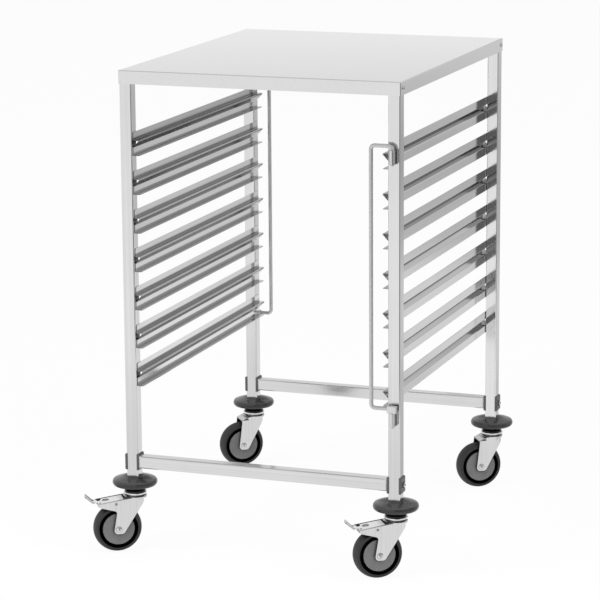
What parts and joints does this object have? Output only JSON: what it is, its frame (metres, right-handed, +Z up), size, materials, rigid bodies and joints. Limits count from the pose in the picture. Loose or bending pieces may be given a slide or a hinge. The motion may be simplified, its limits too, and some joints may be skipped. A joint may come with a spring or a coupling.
{
  "type": "tray clearing trolley",
  "caption": "Tray clearing trolley: square-tube frame with a flat worktop, pressed tray rails on both sides, swing bars that keep the trays in, and braked swivel casters.",
  "frame": {"origin": "on the floor, at the middle of the rectangle of the four posts", "axes": "+X to the trolley's right, +Y to its rear, +Z up"},
  "size_m": [0.698, 0.7977, 0.992],
  "materials": {
    "stainless": "bright polished sheet and tube",
    "zinc": "bright zinc plated pressing",
    "cup_chrome": "bright plated",
    "saddle_plastic": "dark grey moulded plastic",
    "plug_plastic": "light grey moulded plastic",
    "bumper": "smooth dark grey, soft sheen",
    "seal": "black, dull",
    "tyre": "dark grey solid tyre, dull",
    "hub": "mid grey moulded plastic"
  },
  "bodies": {
    "frame": {"bumper_front_left": "bumper", "bumper_front_right": "bumper", "bumper_rear_left": "bumper", "bumper_rear_right": "bumper", "caster_stems": "zinc", "cross_rail_front": "stainless", "cross_rail_plugs": "plug_plastic", "cross_rail_rear": "stainless", "front_bar_sleeves": "stainless", "inner_saddles": "saddle_plastic", "outer_saddles": "saddle_plastic", "post_front_left": "stainless", "post_front_right": "stainless", "post_rear_left": "stainless", "post_rear_right": "stainless", "rail_left_1": "stainless", "rail_left_2": "stainless", "rail_left_3": "stainless", "rail_left_4": "stainless", "rail_left_5": "stainless", "rail_left_6": "stainless", "rail_left_7": "stainless", "rail_right_1": "stainless", "rail_right_2": "stainless", "rail_right_3": "stainless", "rail_right_4": "stainless", "rail_right_5": "stainless", "rail_right_6": "stainless", "rail_right_7": "stainless", "rear_bar_sleeves": "stainless", "stem_expanders": "plug_plastic", "swivel_cups": "cup_chrome", "swivel_seals": "seal", "tie_screws": "stainless", "top_plate": "stainless", "top_screws": "stainless"},
    "caster_front_left": {"fork_front_left": "zinc", "axle_front_left": "zinc", "brake_pin_front_left": "zinc"},
    "wheel_front_left": {"tyre_front_left": "tyre", "hub_front_left": "hub"},
    "pedal_front_left": {"brake_pedal_front_left": "zinc"},
    "caster_front_right": {"fork_front_right": "zinc", "axle_front_right": "zinc", "brake_pin_front_right": "zinc"},
    "wheel_front_right": {"tyre_front_right": "tyre", "hub_front_right": "hub"},
    "pedal_front_right": {"brake_pedal_front_right": "zinc"},
    "caster_rear_left": {"fork_rear_left": "zinc", "axle_rear_left": "zinc"},
    "wheel_rear_left": {"tyre_rear_left": "tyre", "hub_rear_left": "hub"},
    "caster_rear_right": {"fork_rear_right": "zinc", "axle_rear_right": "zinc"},
    "wheel_rear_right": {"tyre_rear_right": "tyre", "hub_rear_right": "hub"},
    "front_swing_bar": {"front_bar": "stainless", "front_bar_lug": "stainless"},
    "rear_swing_bar": {"rear_bar": "stainless", "rear_bar_lug": "stainless"}
  },
  "joints": [
    {"name": "swivel_front_left", "type": "hinge", "parent": "frame", "child": "caster_front_left", "pos_m": [-0.2805, -0.3435, 0], "axis": [0, 0, 1], "continuous": true},
    {"name": "roll_front_left", "type": "hinge", "parent": "caster_front_left", "child": "wheel_front_left", "pos_m": [-0.31262, -0.36436, 0.05], "axis": [0.5446, -0.8387, 0], "continuous": true},
    {"name": "brake_front_left", "type": "hinge", "parent": "caster_front_left", "child": "pedal_front_left", "pos_m": [-0.31665, -0.36697, 0.1038], "axis": [0.5446, -0.8387, 0], "range_deg": [0, 10]},
    {"name": "swivel_front_right", "type": "hinge", "parent": "frame", "child": "caster_front_right", "pos_m": [0.2805, -0.3435, 0], "axis": [0, 0, 1], "continuous": true},
    {"name": "roll_front_right", "type": "hinge", "parent": "caster_front_right", "child": "wheel_front_right", "pos_m": [0.24875, -0.36492, 0.05], "axis": [0.5592, -0.829, 0], "continuous": true},
    {"name": "brake_front_right", "type": "hinge", "parent": "caster_front_right", "child": "pedal_front_right", "pos_m": [0.24477, -0.3676, 0.1038], "axis": [0.5592, -0.829, 0], "range_deg": [0, 10]},
    {"name": "swivel_rear_left", "type": "hinge", "parent": "frame", "child": "caster_rear_left", "pos_m": [-0.2805, 0.3435, 0], "axis": [0, 0, 1], "continuous": true},
    {"name": "roll_rear_left", "type": "hinge", "parent": "caster_rear_left", "child": "wheel_rear_left", "pos_m": [-0.30453, 0.32472, 0.05], "axis": [0.6157, -0.788, 0], "continuous": true},
    {"name": "swivel_rear_right", "type": "hinge", "parent": "frame", "child": "caster_rear_right", "pos_m": [0.2805, 0.3435, 0], "axis": [0, 0, 1], "continuous": true},
    {"name": "roll_rear_right", "type": "hinge", "parent": "caster_rear_right", "child": "wheel_rear_right", "pos_m": [0.25552, 0.32601, 0.05], "axis": [0.5736, -0.8192, 0], "continuous": true},
    {"name": "front_bar_swing", "type": "hinge", "parent": "frame", "child": "front_swing_bar", "pos_m": [0.2805, -0.368, 0.348], "axis": [0, 0, 1], "range_deg": [0, 180]},
    {"name": "rear_bar_swing", "type": "hinge", "parent": "frame", "child": "rear_swing_bar", "pos_m": [-0.2805, 0.368, 0.348], "axis": [0, 0, 1], "range_deg": [0, 180]}
  ]
}
